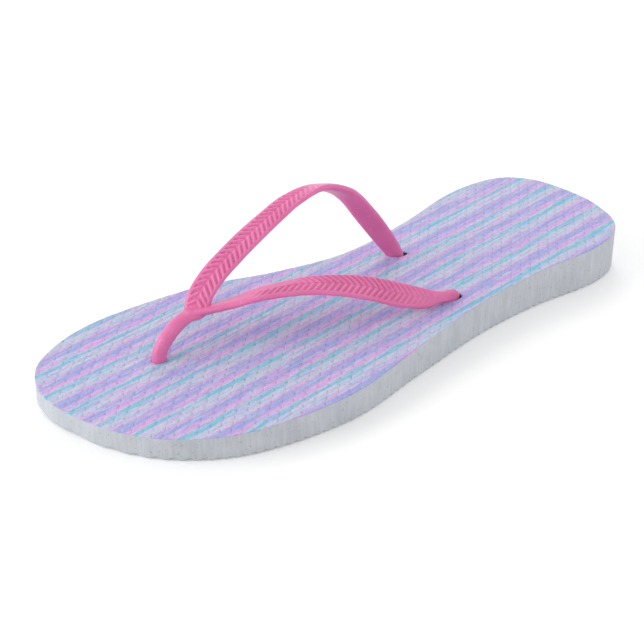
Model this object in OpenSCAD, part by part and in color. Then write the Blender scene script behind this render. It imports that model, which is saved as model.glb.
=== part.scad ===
// Left flip flop: a moulded wedge sole with a ribbed tread, a printed footbed
// sheet bonded on it, and a one-piece rubber thong strap held by three plugs.
// Millimetres. +X heel to toe, +Y towards the wearer's left (outer) side, +Z up.
// Origin: under the middle of the sole's outline, at the level of the ground.

/* [Sole] */
// Length of the sole, heel to toe
sole_l = 255; // [240:1:270]
// Greatest width of the sole, across the ball of the foot
sole_w = 107; // [100:1:114]
// Height of the footbed face at the tip of the toe
toe_h = 8.6; // [8.4:0.1:11]
// Height of the footbed face at the back of the heel
heel_h = 19; // [17:0.5:23]
// Thickness of the printed footbed sheet
footbed_t = 1.4; // [1:0.1:2]

/* [Tread] */
// Distance from one tread rib to the next
rib_pitch = 3.75; // [3:0.25:6]
// Depth of the grooves between the ribs
rib_depth = 0.9; // [0.5:0.1:1.2]
// Width of the flat land on each rib
rib_land = 1.5; // [1:0.1:1.8]

/* [Strap] */
// Thickness of the strap's arms
strap_t = 3; // [2.4:0.1:3.6]
// Diameter of the toe post and of the stems inside the sole
post_d = 5.6; // [5:0.1:6]
// Diameter of the holes that the arms enter
arm_hole_d = 9; // [8.6:0.1:10]
// Diameter of the retaining plugs under the sole
plug_d = 16; // [14:0.5:18]
// Thickness of the retaining plugs
plug_t = 2.4; // [2:0.1:2.8]

/* [Hidden] */

hole_gap = 0.25;                 // clearance between the toe post and its hole
plug_gap = 0.2;                  // clearance between a plug and its recess
recess_d = plug_d + 2;
recess_h = plug_t + 1.4;         // the plugs stay clear of the ground
blend_r = 4;                     // the strap's ends run this far into the holes

// Points along the edge of the sole: toe, outer side, heel, inner side.
outline_pts = [
    [127.5, -16], [122.5, 9], [110, 29.5], [88, 45], [50, 53.5], [12, 50],
    [-28, 46.3], [-62, 47.3], [-95, 52], [-115, 46.5], [-125, 29],
    [-127.5, 10], [-125, -8], [-114, -20.5], [-90, -25], [-55, -21],
    [-20, -21], [10, -30.8], [40, -45], [84, -53.5], [112, -47.5], [124.5, -34]
];

// The drawn edge is centred and stretched to the length and width asked for.
edge = closed_curve(outline_pts, 6);
edge_x = [for (p = edge) p[0]];
edge_y = [for (p = edge) p[1]];
middle = [(max(edge_x) + min(edge_x)) / 2, (max(edge_y) + min(edge_y)) / 2];
kx = sole_l / (max(edge_x) - min(edge_x));
ky = sole_w / (max(edge_y) - min(edge_y));
function on_sole(p) = [(p[0] - middle[0]) * kx, (p[1] - middle[1]) * ky];

// Where the strap passes through the sole.
post_at = on_sole([83.5, -14.3]);
inner_at = on_sole([-34, -4.2]);
outer_at = on_sole([-24.4, 35.5]);

// Strap stations: x, y, lift above the footbed, width, thickness, roll.
// A roll of 0 lies flat and 90 stands on edge.
inner_arm_pts = [
    [65.2, -14.5, 12.6, 10.2, 3.4, 178], [60.8, -15.5, 18, 10.6, 3.2, 175],
    [53.7, -16.5, 22.5, 10.9, strap_t, 174], [44.9, -17.3, 26.1, 10.9, strap_t, 174],
    [35.8, -17.8, 29.6, 11, strap_t, 176], [23.7, -18.8, 33, 11, strap_t, 181],
    [10.6, -19.2, 36.4, 11.1, strap_t, 187], [-3.1, -18.3, 36.8, 11.1, 3.2, 201],
    [-12.8, -13.5, 32.2, 10.7, 3.1, 222], [-20.5, -9.6, 21.4, 9.5, strap_t, 240],
    [-29.6, -6.5, 7.2, 8.1, strap_t, 253], [-33.4, -4.6, 0, 6.8, strap_t, 260],
    [-34, -4.2, -blend_r, 6, 3.6, 264]
];
outer_arm_pts = [
    [64.3, -14.3, 11.7, 9.6, 3.4, 202], [55.2, -6, 14.7, 10.1, strap_t, 194],
    [44.4, 2.1, 17.9, 10.6, strap_t, 186], [29.5, 11.6, 18.4, 11, strap_t, 173],
    [13.8, 20.9, 14.8, 11.1, strap_t, 156], [-0.1, 28.7, 8.6, 10.4, strap_t, 139],
    [-10.5, 32.8, 4.1, 7.9, strap_t, 124], [-16.5, 34.7, 2.9, 5, strap_t, 111],
    [-23.4, 35.7, 1, 5.2, strap_t, 99], [-24.4, 35.5, -blend_r, 6, 3.6, 90]
];
post_pts = [
    [83.5, -14.3, -1, post_d, post_d, 180], [82.2, -14.3, 4, post_d, post_d, 180],
    [77.4, -14.3, 8.7, 5.7, 5.4, 180], [71.5, -14.4, 11.5, 6.6, 4.4, 182],
    [65, -14.4, 12.3, 9.2, 3.4, 188]
];

// Height of the footbed face at a distance x from the middle.
function face_z(x) = toe_h + (heel_h - toe_h) * (sole_l / 2 - x) / sole_l;

// A smooth curve through points of any dimension.
function blend_4(a, b, c, d, t) =
    0.5 * (2 * b + (c - a) * t + (2 * a - 5 * b + 4 * c - d) * t * t
           + (3 * b - a - 3 * c + d) * t * t * t);
function open_curve(p, n) = [
    for (i = [0 : len(p) - 2], j = [0 : n - 1])
        blend_4(p[max(i - 1, 0)], p[i], p[i + 1], p[min(i + 2, len(p) - 1)], j / n),
    p[len(p) - 1]
];
function closed_curve(p, n) = [
    for (i = [0 : len(p) - 1], j = [0 : n - 1])
        blend_4(p[(i + len(p) - 1) % len(p)], p[i], p[(i + 1) % len(p)],
                p[(i + 2) % len(p)], j / n)
];

function unit(v) = v / norm(v);
function place(q) = let (p = on_sole(q)) [p[0], p[1], face_z(p[0]) + q[2]];

// One ring of a swept strap: a rounded bar across direction t at station q.
function ring(q, t, sides) =
    let (side = unit(cross(t, [0, 0, 1])), up = cross(side, t),
         across = cos(q[5]) * side + sin(q[5]) * up, thick = cross(t, across))
    [for (i = [0 : sides - 1])
        let (a = 360 * (i + 0.5) / sides)
        place(q) + q[3] / 2 * bulge(cos(a)) * across + q[4] / 2 * bulge(sin(a)) * thick];

// Squares off a circle's coordinate a little, for a bar with rounded edges.
function bulge(c) = sign(c) * pow(abs(c), 0.7);

module sweep(pts, steps, sides) {
    q = open_curve(pts, steps);
    last = len(q) - 1;
    rings = [for (i = [0 : last])
        ring(q[i], unit(place(q[min(i + 1, last)]) - place(q[max(i - 1, 0)])), sides)];
    polyhedron(
        points = [for (r = rings, p = r) p],
        faces = concat(
            [[for (k = [0 : sides - 1]) k]],
            [[for (k = [sides - 1 : -1 : 0]) last * sides + k]],
            [for (i = [0 : last - 1], k = [0 : sides - 1], half = [0, 1])
                let (a = i * sides + k, b = i * sides + (k + 1) % sides)
                half == 0 ? [a, a + sides, b] : [b, a + sides, b + sides]]));
}

module outline() {
    polygon([for (p = edge) on_sole(p)]);
}

// Everything within the outline between two lines seen from the side.
module slice(side_profile) {
    intersection() {
        linear_extrude(height = heel_h + 5) outline();
        rotate([90, 0, 0])
            linear_extrude(height = 2 * sole_w, center = true) polygon(side_profile);
    }
}

function rib_count() = ceil(sole_l / rib_pitch) + 2;
function rib_profile() =
    let (slope_w = (rib_pitch - rib_land) / 4, start = -rib_count() * rib_pitch / 2)
    [for (i = [0 : rib_count() - 1], c = [0 : 3])
        [start + i * rib_pitch + [0, rib_land, rib_land + slope_w, rib_pitch - slope_w][c],
         c < 2 ? 0 : rib_depth]];

module sole() {
    end_x = rib_count() * rib_pitch / 2;
    color("Gainsboro")
    difference() {
        slice(concat(rib_profile(), [
            [end_x, face_z(end_x) - footbed_t], [-end_x, face_z(-end_x) - footbed_t]]));
        anchor_cut(post_at, post_d + 2 * hole_gap);
        anchor_cut(inner_at, arm_hole_d);
        anchor_cut(outer_at, arm_hole_d);
    }
}

// A through hole with a plug recess at the ground side.
module anchor_cut(at, d) {
    translate([at[0], at[1], -1]) cylinder(h = heel_h + 5, d = d, $fn = 48);
    translate([at[0], at[1], -1]) cylinder(h = recess_h + 1, d = recess_d, $fn = 64);
}

module footbed() {
    over = 10;
    x = sole_l / 2 + over;
    color("Thistle")
    difference() {
        slice([[-x, face_z(-x) - footbed_t], [x, face_z(x) - footbed_t],
               [x, face_z(x)], [-x, face_z(-x)]]);
        translate([post_at[0], post_at[1], -1])
            cylinder(h = heel_h + 5, d = post_d + 2 * hole_gap, $fn = 48);
        for (at = [inner_at, outer_at])
            translate([at[0], at[1], -1]) cylinder(h = heel_h + 5, d = arm_hole_d, $fn = 48);
    }
}

// A stem inside the sole with its retaining plug.
module anchor(at, stem_top) {
    plug_z = recess_h - plug_gap - plug_t;
    translate([at[0], at[1], plug_z]) cylinder(h = plug_t, d = plug_d, $fn = 64);
    translate([at[0], at[1], plug_z]) cylinder(h = stem_top - plug_z, d = post_d, $fn = 48);
}

module thong_strap() {
    color("HotPink") {
        sweep(inner_arm_pts, 3, 8);
        sweep(outer_arm_pts, 3, 8);
        sweep(post_pts, 4, 12);
        anchor(post_at, face_z(post_at[0]) - 0.5);
        anchor(inner_at, face_z(inner_at[0]) - blend_r + 1.5);
        anchor(outer_at, face_z(outer_at[0]) - blend_r + 1.5);
    }
}

sole();
footbed();
thong_strap();
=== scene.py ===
"""Looks of the flip flop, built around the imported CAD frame.

Lengths are in millimetres until new_piece() turns a mesh into metres.
"""
import math

import bmesh
import bpy
import numpy as np
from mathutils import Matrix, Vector
from mathutils.geometry import delaunay_2d_cdt


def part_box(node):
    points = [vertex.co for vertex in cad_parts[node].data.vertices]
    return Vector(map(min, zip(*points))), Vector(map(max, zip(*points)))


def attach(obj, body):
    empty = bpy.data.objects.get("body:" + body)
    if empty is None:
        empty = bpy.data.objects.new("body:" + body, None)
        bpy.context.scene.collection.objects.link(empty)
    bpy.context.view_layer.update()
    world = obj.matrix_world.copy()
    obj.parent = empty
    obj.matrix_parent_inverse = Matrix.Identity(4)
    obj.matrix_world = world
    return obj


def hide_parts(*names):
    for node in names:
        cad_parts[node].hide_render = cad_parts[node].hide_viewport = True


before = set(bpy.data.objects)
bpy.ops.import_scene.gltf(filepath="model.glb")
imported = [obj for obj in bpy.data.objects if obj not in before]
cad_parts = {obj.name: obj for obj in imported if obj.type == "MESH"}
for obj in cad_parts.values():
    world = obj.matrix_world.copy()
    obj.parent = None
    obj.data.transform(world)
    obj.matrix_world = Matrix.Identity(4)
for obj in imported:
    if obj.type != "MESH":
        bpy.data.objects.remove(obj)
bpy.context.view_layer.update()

MM = 0.001

# ---------------------------------------------------------------- sizes from the frame

SOLE_LOW, SOLE_HIGH = (np.array(c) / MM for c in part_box("sole"))
FACE_LOW, FACE_HIGH = (np.array(c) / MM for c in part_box("footbed"))
SOLE_L = SOLE_HIGH[0] - SOLE_LOW[0]
HEEL_H = FACE_HIGH[2]
SHEET_T = FACE_HIGH[2] - SOLE_HIGH[2]
TOE_H = FACE_LOW[2] + SHEET_T

# ---------------------------------------------------------------- sizes of the details

RIB_PITCH = 3.75          # tread
RIB_DEPTH = 0.9
RIB_LAND = 1.5
POST_D = 5.6              # strap and the way it is held
POST_HOLE_D = 6.1
ARM_HOLE_D = 9.0
PLUG_D = 16.0
PLUG_T = 2.4
RECESS_D = 18.0
RECESS_H = 3.8
PLUG_GAP = 0.2
ARM_T = 3.0
END_DEPTH = 4             # the arms run this far into their holes
POST_AT = (83.5, -14.3)
INNER_AT = (-34.0, -4.2)
OUTER_AT = (-24.4, 35.5)

BRICK_L = 6.0             # emboss of the footbed: rows of slanted grains
BRICK_W = 2.48
BRICK_SLANT = 0.95
BRICK_DEPTH = 0.38
BRICK_GROOVE = 0.7

CHEVRON_PITCH = 2.8       # relief on the strap's arms, finer towards the holes
CHEVRON_CLOSING = 0.13
CHEVRON_DEPTH = 0.75
CHEVRON_LEAN = 0.9        # how far a rib runs back for its distance from the middle
CHANNEL_DEPTH = 0.2
CHANNEL_SIDE = 0.9        # width of the slope between a rim and the channel
RIB_FADE = 10             # length over which the ribs begin
# Where the ribs begin, in the half with low and high y, where they end and how slowly.
INNER_RIBS = (-3, -3, 80, 11)
OUTER_RIBS = (18, 36, 100, 32)
INNER_RIMS = (0.5, 1.7)   # smooth rims at the two edges of each arm
OUTER_RIMS = (0.8, 0.4)

STRIPE_PERIOD = 13.7      # print
STRIPE_START = 2.8

# x, y, lift above the footbed, width, thickness, roll (0 flat, 90 on edge)
INNER_ARM = [
    (68.9, -14.4, 11.8, 6.8, 2.4, 180), (65.2, -14.5, 12.6, 10.2, 3.4, 178),
    (60.8, -15.5, 18, 10.6, 3.2, 175), (53.7, -16.5, 22.5, 10.9, ARM_T, 174),
    (44.9, -17.3, 26.1, 10.9, ARM_T, 174),
    (35.8, -17.8, 29.6, 11, ARM_T, 176), (23.7, -18.8, 33, 11, ARM_T, 181),
    (10.6, -19.2, 36.4, 11.1, ARM_T, 187), (-3.1, -18.3, 36.8, 11.1, 3.2, 201),
    (-12.8, -13.5, 32.2, 10.7, 3.1, 222), (-20.5, -9.6, 21.4, 9.5, ARM_T, 240),
    (-29.6, -6.5, 7.2, 8.1, ARM_T, 253), (-33.4, -4.6, 0, 6.8, ARM_T, 260),
    (*INNER_AT, -END_DEPTH, 6, 3.6, 264),
]
OUTER_ARM = [
    (64.3, -14.3, 11.7, 9.6, 3.4, 202), (55.2, -6, 14.7, 10.1, ARM_T, 194),
    (44.4, 2.1, 17.9, 10.6, ARM_T, 186), (29.5, 11.6, 18.4, 11, ARM_T, 173),
    (13.8, 20.9, 14.8, 11.1, ARM_T, 156), (-0.1, 28.7, 8.6, 10.4, ARM_T, 139),
    (-10.5, 32.8, 4.1, 7.9, ARM_T, 124), (-16.5, 34.7, 2.9, 5, ARM_T, 111),
    (-23.4, 35.7, 1, 5.2, ARM_T, 99), (*OUTER_AT, -END_DEPTH, 6, 3.6, 90),
]
POST = [
    (*POST_AT, -1, POST_D, POST_D, 180), (82.2, -14.3, 4, POST_D, POST_D, 180),
    (77.4, -14.3, 8.7, 5.7, 5.4, 180), (71.5, -14.4, 11.5, 6.6, 4.4, 182),
    (65, -14.4, 12.3, 9.2, 3.4, 188),
]
# The soft printed sheet closes round the strap: centre, half length, half width, turn.
EYES = [
    ((83.4, -14.3), 2.75, 2.75, 0),
    ((-34.5, -4.0), 3.9, 2.1, -33),
    ((-24.7, 35.6), 3.3, 2.2, 0),
]
EYE_LIP = 0.25            # the sheet's face ends this far short of an eye
EYE_LIP_DEPTH = 0.5       # and this far above the eye's upright wall
# Where the strap's surface is blended: x, y, lift above the footbed, radius.
BLENDS = [(67.0, -14.4, 12.5, 5.5), (65.5, -11.4, 10.2, 6.0)]

EDGE_R = 0.7              # rounding of the sole's lower edge
PRINT_EDGE_R = 0.35       # rounding of the printed sheet's edge

# ---------------------------------------------------------------- fineness of the meshes

EDGE_STEP = 0.45          # along the outline
HOLE_SIDES = 48
RECESS_SIDES = 2 * HOLE_SIDES
PLAIN_CELL = 5            # grid of a flat face that has no relief
FACE_CELL = 0.5           # grid of the embossed face, along the sole
ARM_STEP = 0.2            # between the rings of an arm
ARM_FACE_POINTS = 65      # across an arm's outer face, and across its back
ARM_BACK_POINTS = 15
POST_STEP = 0.5
POST_SIDES = 40
VOXEL = 0.22              # of the strap's joined surface
RIM_GAP = 0.6             # a grid stops this many cells short of its region's edges
JOIN_GAP = 1e-6           # vertices closer than this (in metres) are one
SHARP_ANGLE = 60          # edges sharper than this (in degrees) stay sharp
FAR = 1e6                 # beyond everything


def face_z(x):
    """Height of the footbed face at x."""
    return TOE_H + (HEEL_H - TOE_H) * (SOLE_L / 2 - x) / SOLE_L


def smooth_step(t):
    t = np.clip(t, 0, 1)
    return t * t * (3 - 2 * t)


# ---------------------------------------------------------------- curves

def blend_4(a, b, c, d, t):
    """The same smooth curve through b and c as in the CAD model."""
    return 0.5 * (2 * b + (c - a) * t + (2 * a - 5 * b + 4 * c - d) * t * t
                  + (3 * b - a - 3 * c + d) * t ** 3)


def open_curve(points, steps):
    p = np.array(points, float)
    out = []
    for i in range(len(p) - 1):
        for j in range(steps):
            before, after = p[max(i - 1, 0)], p[min(i + 2, len(p) - 1)]
            out.append(blend_4(before, p[i], p[i + 1], after, j / steps))
    return np.array(out + [p[-1]])


def closed_curve(points, steps):
    p = np.array(points, float)
    n = len(p)
    return np.array([blend_4(p[i - 1], p[i], p[(i + 1) % n], p[(i + 2) % n], j / steps)
                     for i in range(n) for j in range(steps)])


def even_steps(loop, spacing):
    """A closed loop walked again in equal steps."""
    ring = np.vstack([loop, loop[:1]])
    walked = np.r_[0, np.cumsum(np.linalg.norm(np.diff(ring, axis=0), axis=1))]
    count = int(round(walked[-1] / spacing))
    at = np.linspace(0, walked[-1], count, endpoint=False)
    return np.stack([np.interp(at, walked, ring[:, k]) for k in range(2)], 1)


def outward(loop):
    """Unit normals of a counter-clockwise loop, pointing out of it."""
    along = np.roll(loop, -1, 0) - np.roll(loop, 1, 0)
    across = np.stack([along[:, 1], -along[:, 0]], 1)
    return across / np.linalg.norm(across, axis=1)[:, None]


def full_turn(count):
    """Evenly spaced angles round a circle."""
    return np.arange(count) * 2 * math.pi / count


def circle(at, d, count):
    a = full_turn(count)
    return np.stack([at[0] + d / 2 * np.cos(a), at[1] + d / 2 * np.sin(a)], 1)


def oval(at, half_long, half_wide, turn, count):
    a = full_turn(count)
    u, v = half_long * np.cos(a), half_wide * np.sin(a)
    c, s = math.cos(math.radians(turn)), math.sin(math.radians(turn))
    return np.stack([at[0] + c * u - s * v, at[1] + s * u + c * v], 1)


def radius_towards(loop, x, y):
    """Distance from the middle of a small round loop to its edge, in the direction of x, y."""
    d = loop - loop.mean(0)
    turn = np.arctan2(y - loop[:, 1].mean(), x - loop[:, 0].mean())
    return np.interp(turn, np.arctan2(d[:, 1], d[:, 0]), np.hypot(d[:, 0], d[:, 1]),
                     period=2 * math.pi)


def outline_from_frame(spacing):
    """The edge of the footbed, read from the CAD sheet's upper face and smoothed."""
    tolerance = 0.05
    inside_y = 10         # (0, inside_y) sees the whole edge, so its points sort by angle
    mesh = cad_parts["footbed"].data
    p = np.array([v.co[:] for v in mesh.vertices]) / MM
    on_top = np.abs(p[:, 2] - face_z(p[:, 0])) < tolerance
    clear = np.ones(len(p), bool)
    for at in (POST_AT, INNER_AT, OUTER_AT):
        clear &= np.hypot(p[:, 0] - at[0], p[:, 1] - at[1]) > ARM_HOLE_D
    p = np.unique(np.round(p[on_top & clear][:, :2], 3), axis=0)
    turn = np.arctan2(p[:, 1] - inside_y, p[:, 0])
    return even_steps(closed_curve(p[np.argsort(turn)], 8), spacing)


# ---------------------------------------------------------------- flat regions as meshes

class Region:
    """The inside of a loop, less some holes: quads on a grid and triangles round the rim."""

    def __init__(self, loop, holes, dx, dy):
        self.loop = loop
        self.holes = holes
        xs, ys = (np.arange(math.floor(loop[:, k].min() / cell),
                            math.ceil(loop[:, k].max() / cell) + 1) * cell
                  for k, cell in enumerate((dx, dy)))
        gx, gy = np.meshgrid(xs, ys, indexing="ij")
        keep = self.inside(gx, gy, RIM_GAP * max(dx, dy))
        cells = keep[:-1, :-1] & keep[1:, :-1] & keep[:-1, 1:] & keep[1:, 1:]
        self.verts, self.quads, stairs = self.grid(gx, gy, cells)
        self.cells, self.dx, self.dy, self.x0, self.y0 = cells, dx, dy, xs[0], ys[0]
        self.fill_rim(stairs)

    def inside(self, x, y, margin):
        """True where a point is in the region and at least margin from its edges."""
        low, high = np.full(x.shape, -np.inf), np.full(x.shape, np.inf)
        for shift in (-margin, 0, margin):
            a, b = self.span(x + shift)
            low, high = np.maximum(low, a), np.minimum(high, b)
        ok = (y > low + margin) & (y < high - margin)
        for hole in self.holes:
            c = hole.mean(0)
            ok &= np.hypot(x - c[0], y - c[1]) > radius_towards(hole, x, y) + margin
        return ok

    def span(self, x):
        """Lowest and highest y of the loop at x; an empty span beyond its ends."""
        p = self.loop
        i, j = p[:, 0].argmin(), p[:, 0].argmax()
        walk = np.roll(p, -i, 0)
        j = (j - i) % len(p)
        one, two = walk[:j + 1], np.vstack([walk[j:], walk[:1]])[::-1]
        a = np.interp(x, one[:, 0], one[:, 1])
        b = np.interp(x, two[:, 0], two[:, 1])
        low, high = np.minimum(a, b), np.maximum(a, b)
        out = (x < p[:, 0].min()) | (x > p[:, 0].max())
        return np.where(out, FAR, low), np.where(out, -FAR, high)

    def grid(self, gx, gy, cells):
        """Vertices and quads of the cells, and the edges where the cells end."""
        used = np.zeros(gx.shape, bool)
        for i in (0, 1):
            for j in (0, 1):
                used[i:i + cells.shape[0], j:j + cells.shape[1]] |= cells
        number = np.full(gx.shape, -1)
        number[used] = np.arange(used.sum())
        verts = np.stack([gx[used], gy[used]], 1)
        a, b = number[:-1, :-1][cells], number[1:, :-1][cells]
        c, d = number[1:, 1:][cells], number[:-1, 1:][cells]
        quads = np.stack([a, b, c, d], 1)
        pad = np.pad(cells, 1)
        stairs = []
        for part, ends in ((~pad[1:-1, :-2], (a, b)), (~pad[1:-1, 2:], (d, c)),
                           (~pad[:-2, 1:-1], (a, d)), (~pad[2:, 1:-1], (b, c))):
            open_side = part[cells]
            stairs.append(np.stack([ends[0][open_side], ends[1][open_side]], 1))
        return verts, quads, np.vstack(stairs)

    def in_cells(self, x, y):
        """True where a point lies in one of the grid's own cells."""
        i = int(math.floor((x - self.x0) / self.dx))
        j = int(math.floor((y - self.y0) / self.dy))
        ok = 0 <= i < self.cells.shape[0] and 0 <= j < self.cells.shape[1]
        return ok and self.cells[i, j]

    def fill_rim(self, stairs):
        """Triangles between the grid's stepped edge and the smooth loops."""
        rim = np.unique(stairs)
        place = {int(v): k for k, v in enumerate(rim)}
        points = [self.verts[v] for v in rim]
        edges = [(place[int(a)], place[int(b)]) for a, b in stairs]
        self.loop_ids, total = [], len(self.verts)
        extra = []
        for loop in [self.loop, *self.holes]:
            start = len(points)
            points += list(loop)
            count = len(loop)
            edges += [(start + k, start + (k + 1) % count) for k in range(count)]
            self.loop_ids.append(np.arange(total + len(extra), total + len(extra) + count))
            extra += list(loop)
        index = [int(v) for v in rim] + list(range(total, total + len(extra)))
        self.verts = np.vstack([self.verts, extra])
        out = delaunay_2d_cdt([Vector(p) for p in points], edges, [], 0, 1e-7)
        new_points, triangles, origins = out[0], out[2], out[3]
        self.tris = []
        for tri in triangles:
            x = sum(new_points[k][0] for k in tri) / 3
            y = sum(new_points[k][1] for k in tri) / 3
            if self.in_cells(x, y) or not self.inside(np.array(x), np.array(y), 1e-4):
                continue
            ids = [index[origins[k][0]] for k in tri]
            if len(set(ids)) == 3:
                self.tris.append(ids)
        self.tris = np.array(self.tris)


class Shell:
    """Collects vertices and faces of one closed mesh."""

    def __init__(self):
        self.verts, self.faces, self.marks, self.count = [], [], [], 0

    def add(self, xyz):
        """Adds vertices and returns their numbers."""
        first = self.count
        self.verts.append(np.asarray(xyz, float))
        self.count += len(xyz)
        return np.arange(first, self.count)

    def face_list(self, faces, mark=0):
        """Adds faces; mark is the number of their material."""
        self.faces += [tuple(int(k) for k in f) for f in faces]
        self.marks += [mark] * len(faces)

    def region(self, region, height, up, mark=0):
        """The region at height(x, y). Returns the vertex numbers of its loops."""
        ids = self.add(np.column_stack([region.verts, height(*region.verts.T)]))
        turn = 1 if up else -1
        self.face_list(ids[region.quads][:, ::turn], mark)
        tri = region.tris
        p = region.verts[tri]
        flip = np.cross(p[:, 1] - p[:, 0], p[:, 2] - p[:, 0]) < 0
        tri = np.where(flip[:, None], tri[:, ::-1], tri)
        self.face_list(ids[tri][:, ::turn], mark)
        return [ids[k] for k in region.loop_ids]

    def band(self, low, high, outside=True, mark=0):
        """Quads between two rings with as many points. low is below high."""
        n = len(low)
        k = np.arange(n)
        quads = np.stack([low[k], low[(k + 1) % n], high[(k + 1) % n], high[k]], 1)
        self.face_list(quads if outside else quads[:, ::-1], mark)

    def skin(self, rings):
        """A closed skin over a row of rings, with a flat face at each end."""
        for low, high in zip(rings, rings[1:]):
            self.band(low, high)
        self.face_list([tuple(rings[0][::-1]), tuple(rings[-1])])


def new_piece(name, shell, *materials):
    mesh = bpy.data.meshes.new(name)
    mesh.from_pydata((np.vstack(shell.verts) * MM).tolist(), [], shell.faces)
    mesh.validate()
    for m in materials:
        mesh.materials.append(m)
    mesh.polygons.foreach_set("material_index", shell.marks[:len(mesh.polygons)])
    mesh.polygons.foreach_set("use_smooth", [True] * len(mesh.polygons))
    mesh.update()
    piece = bpy.data.objects.new(name, mesh)
    bpy.context.scene.collection.objects.link(piece)
    return piece


# ---------------------------------------------------------------- sole

def tread_z(x):
    """Rounded ribs with flat crests on the ground."""
    start = -(math.ceil(SOLE_L / RIB_PITCH) + 2) * RIB_PITCH / 2 + RIB_LAND / 2
    wave = 0.5 - 0.5 * np.cos(2 * math.pi * (x - start) / RIB_PITCH)
    return RIB_DEPTH * wave ** 1.4


def rounding(radius, turns):
    """Inset and drop along a quarter-round edge, at shares of its turn."""
    for turn in turns:
        a = turn * math.pi / 2
        yield turn, radius * (1 - math.sin(a)), radius * (1 - math.cos(a))


def under_sheet_z(x, y=None):
    """Height of the face between the sole and the printed sheet at x."""
    return face_z(x) - SHEET_T


def make_sole(loop, foam, painted_shade_walls):
    """The wedge of foam: tread, wall, upper face, holes and plug recesses."""
    shell = Shell()
    out = outward(loop)
    holes = [(POST_AT, POST_HOLE_D), (INNER_AT, ARM_HOLE_D), (OUTER_AT, ARM_HOLE_D)]
    recess = [circle(at, RECESS_D, RECESS_SIDES) for at, d in holes]
    ground = Region(loop - EDGE_R * out, recess, RIB_PITCH / 10, 2.5)
    rings = shell.region(ground, lambda x, y: tread_z(x), up=False)
    low = rings[0]
    for _, inset, rise in rounding(EDGE_R, (0.35, 0.7, 1.0)):
        p = loop - inset * out
        high = shell.add(np.column_stack([p, tread_z(p[:, 0]) + rise]))
        shell.band(low, high)
        low = high
    base = tread_z(loop[:, 0]) + EDGE_R
    roof = under_sheet_z(loop[:, 0])
    for share in (0.12, 0.3, 0.5, 0.7, 0.88, 1.0):
        high = shell.add(np.column_stack([loop, base + (roof - base) * share]))
        shell.band(low, high)
        low = high
    lid = Region(loop, [circle(at, d, HOLE_SIDES) for at, d in holes], PLAIN_CELL, PLAIN_CELL)
    lid_rings = shell.region(lid, under_sheet_z, up=True)
    shell.band(low, lid_rings[0])
    for k, (at, d) in enumerate(holes):
        rim, mouth = rings[k + 1], lid_rings[k + 1]
        wall = shell.add(np.column_stack([recess[k], np.full(RECESS_SIDES, RECESS_H)]))
        shell.band(rim, wall, outside=False)
        inner = circle(at, d, HOLE_SIDES)
        eye = shell.add(np.column_stack([inner, np.full(HOLE_SIDES, RECESS_H)]))
        for j in range(HOLE_SIDES):
            a, b, c = wall[2 * j], wall[2 * j + 1], wall[(2 * j + 2) % RECESS_SIDES]
            shell.face_list([(a, b, eye[j]), (b, c, eye[(j + 1) % HOLE_SIDES], eye[j])])
        # The hole's upright wall is coloured as painted shade.
        shell.band(eye, mouth, outside=False, mark=1)
    piece = new_piece("sole_foam", shell, foam, painted_shade_walls)
    tidy(piece)
    return piece


def tidy(piece):
    """Joins doubled vertices and makes every normal point out."""
    bm = bmesh.new()
    bm.from_mesh(piece.data)
    bmesh.ops.remove_doubles(bm, verts=bm.verts, dist=JOIN_GAP)
    bmesh.ops.recalc_face_normals(bm, faces=bm.faces)
    bm.to_mesh(piece.data)
    bm.free()
    piece.data.set_sharp_from_angle(angle=math.radians(SHARP_ANGLE))


# ---------------------------------------------------------------- footbed

def emboss(x, y):
    """Height of the grain pattern: slanted bricks in half-staggered rows, 0 to -BRICK_DEPTH."""
    row = y / BRICK_W
    row_at = np.floor(row)
    across = np.abs(row - row_at - 0.5) * 2
    along = (x - (y - row_at * BRICK_W) * BRICK_SLANT) / BRICK_L + row_at * 0.5
    along = np.abs(along - np.floor(along) - 0.5) * 2
    end = 1 - smooth_step((1 - along) * BRICK_L / 2 / BRICK_GROOVE)
    side = 1 - smooth_step((1 - across) * BRICK_W / 2 / BRICK_GROOVE)
    return -BRICK_DEPTH * np.maximum(end * (1 - 0.8 * across ** 2), 0.4 * side)


def make_footbed(loop, print_top, foam, painted_shade_walls):
    """The printed sheet: embossed face, foam sides and underside, and eyes whose walls carry
    painted shade.
    """
    shell = Shell()
    out = outward(loop)
    eyes = [oval(*eye, HOLE_SIDES) for eye in EYES]
    rims = [oval(at, long + EYE_LIP, wide + EYE_LIP, turn, HOLE_SIDES)
            for at, long, wide, turn in EYES]
    face = Region(loop - PRINT_EDGE_R * out, rims, FACE_CELL, BRICK_W / 6)

    def face_height(x, y):
        return face_z(x) + emboss(x, y)

    rings = shell.region(face, face_height, up=True)
    high = rings[0]
    for turn, inset, drop in rounding(PRINT_EDGE_R, (0.3, 0.6, 1.0)):
        p = loop - inset * out
        soft = emboss(*p.T) * (1 - turn)
        low = shell.add(np.column_stack([p, face_z(p[:, 0]) - drop + soft]))
        shell.band(low, high)
        high = low
    low = shell.add(np.column_stack([loop, under_sheet_z(loop[:, 0])]))
    shell.band(low, high, mark=1)
    back = Region(loop, eyes, PLAIN_CELL, PLAIN_CELL)
    under = shell.region(back, under_sheet_z, up=False, mark=1)
    shell.band(under[0], low, mark=1)
    for k, lip in enumerate(eyes):
        neck = shell.add(np.column_stack([lip, face_z(lip[:, 0]) - EYE_LIP_DEPTH]))
        shell.band(neck, rings[k + 1], outside=False)
        # The eye's wall below the lip is coloured as painted shade.
        shell.band(under[k + 1], neck, outside=False, mark=2)
    piece = new_piece("footbed_print", shell, print_top, foam, painted_shade_walls)
    tidy(piece)
    return piece


# ---------------------------------------------------------------- strap

def unit(v):
    return v / np.linalg.norm(v, axis=-1, keepdims=True)


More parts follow.
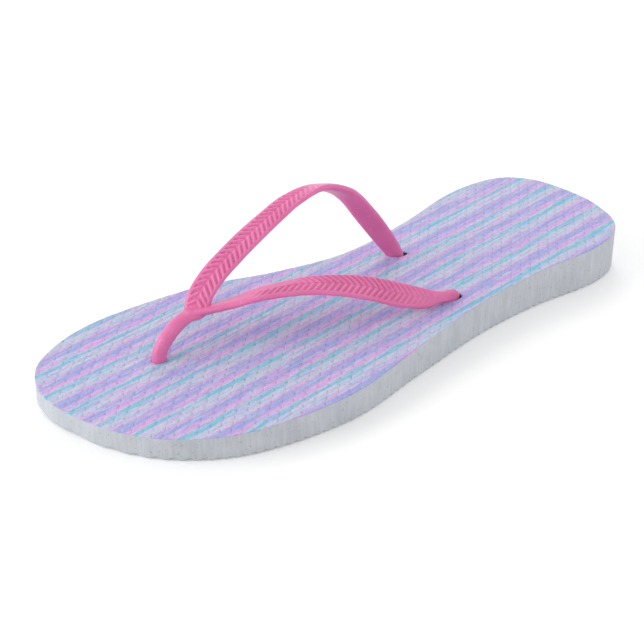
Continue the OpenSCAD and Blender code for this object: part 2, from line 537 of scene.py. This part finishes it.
def stations(points, spacing):
    """Even stations along a strap: centres, across and through directions, width, thickness."""
    q = open_curve(points, 24)
    q[:, 2] += face_z(q[:, 0])
    walked = np.r_[0, np.cumsum(np.linalg.norm(np.diff(q[:, :3], axis=0), axis=1))]
    at = np.linspace(0, walked[-1], int(walked[-1] / spacing) + 1)
    q = np.stack([np.interp(at, walked, q[:, k]) for k in range(6)], 1)
    t = unit(np.gradient(q[:, :3], axis=0))
    for _ in range(6):
        t[1:-1] = unit(t[:-2] + 2 * t[1:-1] + t[2:])
    side = unit(np.cross(t, [0, 0, 1]))
    up = np.cross(side, t)
    roll = np.radians(q[:, 5])[:, None]
    across = np.cos(roll) * side + np.sin(roll) * up
    return q[:, :3], across, np.cross(t, across), q[:, 3], q[:, 4], at


def chevrons(s, length, y, half, ribs, rims):
    """Relief of an arm's outer face: s along the arm, y across it."""
    rim = np.where(y < 0, rims[0], rims[1])
    channel = smooth_step((half - rim - np.abs(y)) / CHANNEL_SIDE)
    first = ribs[0] + (ribs[1] - ribs[0]) * smooth_step(0.5 + y / 2)
    shown = smooth_step((s - first) / RIB_FADE) * smooth_step((ribs[2] - s) / ribs[3])
    along = s * (1 + CHEVRON_CLOSING * s / length) + CHEVRON_LEAN * np.hypot(y, 0.4)
    wave = 0.5 + 0.5 * np.cos(2 * math.pi * along / CHEVRON_PITCH)
    spine = 0.35 + 0.65 * smooth_step(np.abs(y) / 0.6)
    return channel * shown * (CHEVRON_DEPTH * (wave * spine - 0.6) - CHANNEL_DEPTH)


def arm_shell(points, ribs, rims):
    """A closed rounded band with chevrons on its outer face."""
    centre, across, through, width, thick, s = stations(points, ARM_STEP)
    a = np.linspace(-math.pi / 2, math.pi / 2, ARM_FACE_POINTS)
    b = np.linspace(math.pi / 2, 3 * math.pi / 2, ARM_BACK_POINTS + 2)[1:-1]
    v = np.sign(np.sin(a)) * np.abs(np.sin(a)) ** 0.9
    u = np.sin(b)
    shell = Shell()
    rings = []
    for i in range(len(s)):
        half = width[i] / 2
        rise = thick[i] / 2 * (1 - np.abs(v) ** 5) ** 0.5
        rise = rise + chevrons(s[i], s[-1], v * half, half, ribs, rims)
        fall = -thick[i] / 2 * (1 - np.abs(u) ** 3) ** 0.5
        y = np.r_[v, u] * half
        z = np.r_[rise, fall]
        rings.append(shell.add(centre[i] + y[:, None] * across[i] + z[:, None] * through[i]))
    shell.skin(rings)
    return shell


def post_shell(points):
    """A closed oval tube along the stations."""
    centre, across, through, width, thick, s = stations(points, POST_STEP)
    a = full_turn(POST_SIDES)[:, None]
    shell = Shell()
    rings = [shell.add(centre[i] + width[i] / 2 * np.cos(a) * across[i]
                       + thick[i] / 2 * np.sin(a) * through[i]) for i in range(len(s))]
    shell.skin(rings)
    return shell


def turned_shell(at, outline, count=64):
    """A turned solid about a vertical axis, from (radius, height) pairs bottom to top."""
    shell = Shell()
    rings = [shell.add(np.column_stack([circle(at, 2 * r, count), np.full(count, z)]))
             for r, z in outline]
    shell.skin(rings)
    return shell


def anchor_outline(stem_top):
    """Stem and plug: a dished disc with a rounded rim, and a fillet under the stem."""
    low = RECESS_H - PLUG_GAP - PLUG_T
    high = low + PLUG_T
    r = PLUG_D / 2
    stem = POST_D / 2
    rim = 0.8
    rows = [(0.6, low + 0.7), (r * 0.45, low + 0.55), (r * 0.62, low + 0.1), (r - rim, low)]
    for k in range(1, 6):
        turn = k / 5 * math.pi / 2
        rows.append((r - rim + rim * math.sin(turn), low + rim * (1 - math.cos(turn))))
    rows += [(r, high - 0.3), (r - 0.3, high), (stem + 1.2, high), (stem + 0.4, high + 0.25),
             (stem, high + 0.9), (stem, stem_top)]
    return rows


def ease_around(piece, x, y, lift, radius):
    """Blends the surface near one point, less and less with the distance from it."""
    centre = Vector((x, y, lift + face_z(x))) * MM
    group = piece.vertex_groups.new(name="blend")
    for v in piece.data.vertices:
        near = 1 - (v.co - centre).length / (radius * MM)
        if near > 0:
            group.add([v.index], min(1.0, 1.5 * near), "REPLACE")
    blend = piece.modifiers.new("blend", "SMOOTH")
    blend.vertex_group = group.name
    blend.factor = 0.5
    blend.iterations = 30
    bpy.ops.object.modifier_apply(modifier=blend.name)


def join_shells(name, shells, material):
    """One moulding: the closed shells joined into a single surface."""
    parts = []
    for k, shell in enumerate(shells):
        part = new_piece(f"{name}_{k}", shell)
        tidy(part)
        parts.append(part)
    bpy.ops.object.select_all(action="DESELECT")
    for part in parts:
        part.select_set(True)
    bpy.context.view_layer.objects.active = parts[0]
    bpy.ops.object.join()
    piece = bpy.context.view_layer.objects.active
    remesh = piece.modifiers.new("one_surface", "REMESH")
    remesh.mode = "VOXEL"
    remesh.voxel_size = VOXEL * MM
    ease = piece.modifiers.new("ease", "SMOOTH")
    ease.factor = 0.5
    ease.iterations = 1
    bpy.ops.object.modifier_apply(modifier=remesh.name)
    bpy.ops.object.modifier_apply(modifier=ease.name)
    for spot in BLENDS:
        ease_around(piece, *spot)
    piece.name = name
    piece.data.name = name
    piece.data.materials.clear()
    piece.data.materials.append(material)
    piece.data.polygons.foreach_set("use_smooth", [True] * len(piece.data.polygons))
    return piece


def make_strap(rubber):
    """The whole strap: two arms, toe post, and three stems with their plugs."""
    shells = [
        arm_shell(INNER_ARM, INNER_RIBS, INNER_RIMS),
        arm_shell(OUTER_ARM, OUTER_RIBS, OUTER_RIMS),
        post_shell(POST),
    ]
    for at, top in ((POST_AT, -0.5), (INNER_AT, -2.5), (OUTER_AT, -2.5)):
        shells.append(turned_shell(at, anchor_outline(face_z(at[0]) + top)))
    return join_shells("thong_strap_moulding", shells, rubber)


# ---------------------------------------------------------------- materials

def srgb(r, g, b):
    """Linear colour of an sRGB value given in 0 to 255."""
    return tuple(((c / 255 + 0.055) / 1.055) ** 2.4 for c in (r, g, b)) + (1.0,)


class Nodes:
    """Short calls for building a material's node tree."""

    def __init__(self, name):
        self.material = bpy.data.materials.new(name)
        self.material.use_nodes = True
        self.tree = self.material.node_tree
        self.shader = self.tree.nodes["Principled BSDF"]

    def add(self, kind, **settings):
        node = self.tree.nodes.new(kind)
        for key, value in settings.items():
            setattr(node, key, value)
        return node

    def link(self, source, target):
        self.tree.links.new(source, target)

    def place(self):
        return self.add("ShaderNodeNewGeometry").outputs["Position"]

    def maths(self, operation, a, b=None):
        node = self.add("ShaderNodeMath", operation=operation)
        for socket, value in zip(node.inputs, (a, b)):
            if isinstance(value, (int, float)):
                socket.default_value = value
            elif value is not None:
                self.link(value, socket)
        return node.outputs[0]

    def noise(self, vector, scale, detail=2.0, stretch=(1, 1, 1), start=0.0):
        mapping = self.add("ShaderNodeMapping")
        mapping.inputs["Scale"].default_value = stretch
        mapping.inputs["Location"].default_value = (start, start, start)
        self.link(vector, mapping.inputs["Vector"])
        node = self.add("ShaderNodeTexNoise")
        node.inputs["Scale"].default_value = scale
        node.inputs["Detail"].default_value = detail
        self.link(mapping.outputs[0], node.inputs["Vector"])
        return node.outputs["Fac"]

    def ramp(self, fac, stops, interpolation="LINEAR"):
        node = self.add("ShaderNodeValToRGB")
        ramp = node.color_ramp
        ramp.interpolation = interpolation
        while len(ramp.elements) < len(stops):
            ramp.elements.new(0.5)
        for element, (position, colour) in zip(ramp.elements, stops):
            element.position = position
            element.color = colour
        self.link(fac, node.inputs["Fac"])
        return node.outputs["Color"]

    def mix(self, fac, a, b, blend="MIX"):
        node = self.add("ShaderNodeMix", data_type="RGBA", blend_type=blend)
        for socket, value in ((0, fac), (6, a), (7, b)):
            if isinstance(value, (int, float, tuple)):
                node.inputs[socket].default_value = value
            else:
                self.link(value, node.inputs[socket])
        return node.outputs[2]

    def times(self, a, b):
        """Colour a darkened or lightened by colour b."""
        return self.mix(1.0, a, b, "MULTIPLY")

    def bump(self, height, strength, distance):
        node = self.add("ShaderNodeBump")
        node.inputs["Strength"].default_value = strength
        node.inputs["Distance"].default_value = distance
        self.link(height, node.inputs["Height"])
        self.link(node.outputs["Normal"], self.shader.inputs["Normal"])

    def grey(self, value):
        return (value, value, value, 1.0)


def foam_material():
    """Matt grey foam, brushed upright, with fine dark specks."""
    n = Nodes("grey_foam")
    here = n.place()
    cloud = n.noise(here, 90, 3)
    grain = n.noise(here, 900, 2, (1, 1, 0.12))
    speck = n.noise(here, 1500, 1)
    base = n.ramp(cloud, [(0.3, srgb(186, 190, 197)), (0.7, srgb(195, 199, 205))])
    brushed = n.ramp(grain, [(0.35, n.grey(0.90)), (0.65, n.grey(1.0))])
    base = n.times(base, brushed)
    dots = n.ramp(speck, [(0.69, n.grey(1.0)), (0.74, n.grey(0.55))])
    base = n.times(base, dots)
    n.link(base, n.shader.inputs["Base Color"])
    n.shader.inputs["Roughness"].default_value = 0.85
    n.shader.inputs["Specular IOR Level"].default_value = 0.25
    n.bump(n.maths("ADD", grain, n.maths("MULTIPLY", speck, 0.6)), 0.5, 0.0002)
    return n.material


def print_material():
    """Lengthwise stripes with frayed edges, thin streaks, fibres, and painted shade that
    darkens the grooves.
    """
    n = Nodes("striped_print")
    here = n.place()
    parts = n.add("ShaderNodeSeparateXYZ")
    n.link(here, parts.inputs[0])
    slow = n.maths("SUBTRACT", n.noise(here, 70, 2, (0.3, 1.0, 1.0)), 0.5)
    quick = n.maths("SUBTRACT", n.noise(here, 420, 3, (0.2, 1.0, 1.0)), 0.5)
    slow, quick = n.maths("MULTIPLY", slow, 2.4 * MM), n.maths("MULTIPLY", quick, 3.4 * MM)
    y = n.maths("ADD", parts.outputs["Y"], n.maths("ADD", slow, quick))
    y = n.maths("SUBTRACT", y, STRIPE_START * MM)
    phase = n.maths("FRACT", n.maths("DIVIDE", y, STRIPE_PERIOD * MM))
    aqua, pale, mist = srgb(134, 194, 217), srgb(200, 198, 222), srgb(190, 200, 219)
    thin_pink, lavender = srgb(208, 178, 220), srgb(166, 168, 222)
    pink, lilac = srgb(218, 170, 224), srgb(186, 170, 222)
    stops = [(0.0, aqua), (0.06, aqua), (0.13, pale), (0.25, mist), (0.34, pale),
             (0.40, thin_pink), (0.46, lilac), (0.54, lavender), (0.64, lavender),
             (0.72, lilac), (0.78, pink), (0.85, pink), (0.91, mist), (0.96, aqua), (1.0, aqua)]
    colour = n.ramp(phase, stops)
    streaks = ((900, 1.0, srgb(122, 196, 216)), (780, 2.0, srgb(222, 166, 224)),
               (840, 3.0, srgb(156, 160, 222)), (700, 4.0, srgb(208, 208, 226)))
    for scale, start, tint in streaks:
        field = n.noise(here, scale, 2, (0.10, 1.0, 1.0), start)
        amount = n.ramp(field, [(0.52, n.grey(0.0)), (0.72, n.grey(0.6))])
        colour = n.mix(amount, colour, tint)
    fibre = n.noise(here, 2600, 3, (0.2, 1.0, 1.0))
    shade = n.ramp(fibre, [(0.3, n.grey(0.86)), (0.7, n.grey(1.06))])
    colour = n.times(colour, shade)
    # Painted shade: the print is darkened with depth below the face, in the emboss's grooves.
    slope = (HEEL_H - TOE_H) / SOLE_L
    middle_z = (TOE_H + slope * SOLE_L / 2) * MM
    face = n.maths("SUBTRACT", middle_z, n.maths("MULTIPLY", parts.outputs["X"], slope))
    depth = n.maths("DIVIDE", n.maths("SUBTRACT", face, parts.outputs["Z"]), BRICK_DEPTH * MM)
    painted_groove_shade = n.ramp(depth, [(0.5, n.grey(1.0)), (1.0, n.grey(0.77))])
    colour = n.times(colour, painted_groove_shade)
    weave = n.noise(here, 1500, 2, start=5.0)
    weave = n.ramp(weave, [(0.35, n.grey(0.90)), (0.65, n.grey(1.07))])
    colour = n.times(colour, weave)
    n.link(colour, n.shader.inputs["Base Color"])
    n.shader.inputs["Roughness"].default_value = 0.7
    n.shader.inputs["Specular IOR Level"].default_value = 0.3
    n.bump(fibre, 0.35, 0.00015)
    return n.material


def hole_material():
    """The walls of the holes, toned down so that they read as shade."""
    n = Nodes("shaded_foam")
    tone = n.noise(n.place(), 900, 2)
    colour = n.ramp(tone, [(0.3, srgb(52, 54, 60)), (0.7, srgb(66, 68, 74))])
    n.link(colour, n.shader.inputs["Base Color"])
    n.shader.inputs["Roughness"].default_value = 0.9
    return n.material


def strap_material():
    """Satin pink rubber, with painted shade in the ribs' grooves and a painted highlight on
    their crests.
    """
    n = Nodes("pink_rubber")
    here = n.place()
    mottle = n.noise(here, 120, 3)
    colour = n.ramp(mottle, [(0.3, srgb(220, 106, 161)), (0.7, srgb(228, 115, 170))])
    # Painted shade in the grooves and painted highlight on the crests, driven by the surface's
    # pointiness.
    ridges = n.add("ShaderNodeNewGeometry").outputs["Pointiness"]
    painted_groove_shade, painted_crest_highlight = (0.82, 0.60, 0.68, 1), (1.04, 1.25, 1.14, 1)
    relief = n.ramp(ridges, [(0.455, painted_groove_shade), (0.5, n.grey(0.98)), (0.54, painted_crest_highlight)])
    colour = n.times(colour, relief)
    n.link(colour, n.shader.inputs["Base Color"])
    fine = n.noise(here, 1800, 3)
    rough = n.maths("ADD", 0.36, n.maths("MULTIPLY", fine, 0.12))
    n.link(rough, n.shader.inputs["Roughness"])
    n.shader.inputs["Subsurface Weight"].default_value = 0.12
    n.shader.inputs["Subsurface Radius"].default_value = (1.0, 0.35, 0.5)
    n.shader.inputs["Subsurface Scale"].default_value = 0.001
    n.shader.inputs["Sheen Weight"].default_value = 0.1
    n.shader.inputs["Sheen Roughness"].default_value = 0.4
    n.bump(fine, 0.15, 0.0001)
    return n.material


def floor_material():
    n = Nodes("pale_floor")
    tone = n.noise(n.place(), 12, 2)
    colour = n.ramp(tone, [(0.3, n.grey(0.93)), (0.7, n.grey(0.95))])
    n.link(colour, n.shader.inputs["Base Color"])
    n.shader.inputs["Roughness"].default_value = 0.9
    n.shader.inputs["Emission Color"].default_value = (1, 1, 1, 1)
    n.shader.inputs["Emission Strength"].default_value = 0.12
    return n.material


# ---------------------------------------------------------------- stage

CAMERA_PLACE = (0.3637, 0.3586, 0.2956)
CAMERA_DOWN = 30.19       # degrees below the horizon
CAMERA_HEADING = 225.65   # degrees from +X
CAMERA_LENS = 82.2        # mm
CAMERA_SENSOR = 36        # mm
LIGHTS = [                # name, place, diameter and power; all aim at the origin
    ("key", (1.1, -0.8, 0.52), 1.2, 11),
    ("back", (-1.0, -0.95, 0.85), 1.0, 6),
    ("side", (-0.8, 1.0, 0.5), 1.0, 2.5),
]
FLOOR_HALF = 3.0


def make_camera():
    data = bpy.data.cameras.new("camera")
    data.lens = CAMERA_LENS
    data.sensor_width = CAMERA_SENSOR
    camera = bpy.data.objects.new("camera", data)
    camera.location = CAMERA_PLACE
    camera.rotation_euler = (math.radians(90 - CAMERA_DOWN), 0,
                             math.radians(CAMERA_HEADING - 90))
    bpy.context.scene.collection.objects.link(camera)
    bpy.context.scene.camera = camera


def area_light(name, place, size, power):
    data = bpy.data.lights.new(name, "AREA")
    data.shape = "DISK"
    data.size = size
    data.energy = power
    light = bpy.data.objects.new(name, data)
    light.location = place
    light.rotation_euler = (-Vector(place)).to_track_quat("-Z", "Y").to_euler()
    bpy.context.scene.collection.objects.link(light)


def make_stage():
    scene = bpy.context.scene
    scene.view_settings.view_transform = "Standard"
    world = bpy.data.worlds.new("studio")
    world.use_nodes = True
    background = world.node_tree.nodes["Background"].inputs
    background["Color"].default_value = (1, 1, 1, 1)
    background["Strength"].default_value = 0.76
    scene.world = world
    for light in LIGHTS:
        area_light(*light)
    h = FLOOR_HALF
    mesh = bpy.data.meshes.new("floor")
    mesh.from_pydata([(-h, -h, 0), (h, -h, 0), (h, h, 0), (-h, h, 0)], [], [(0, 1, 2, 3)])
    mesh.materials.append(floor_material())
    floor = bpy.data.objects.new("floor", mesh)
    scene.collection.objects.link(floor)


# ---------------------------------------------------------------- assembly

make_camera()
make_stage()
edge_loop = outline_from_frame(EDGE_STEP)
foam = foam_material()
painted_shade_hole_wall = hole_material()
sole = make_sole(edge_loop, foam, painted_shade_hole_wall)
footbed = make_footbed(edge_loop, print_material(), foam, painted_shade_hole_wall)
strap = make_strap(strap_material())

for piece, node, slot in ((sole, "sole", "sole_foam"), (footbed, "footbed", "footbed_print"),
                          (strap, "thong_strap", "strap_rubber")):
    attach(piece, "root")
    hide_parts(node)
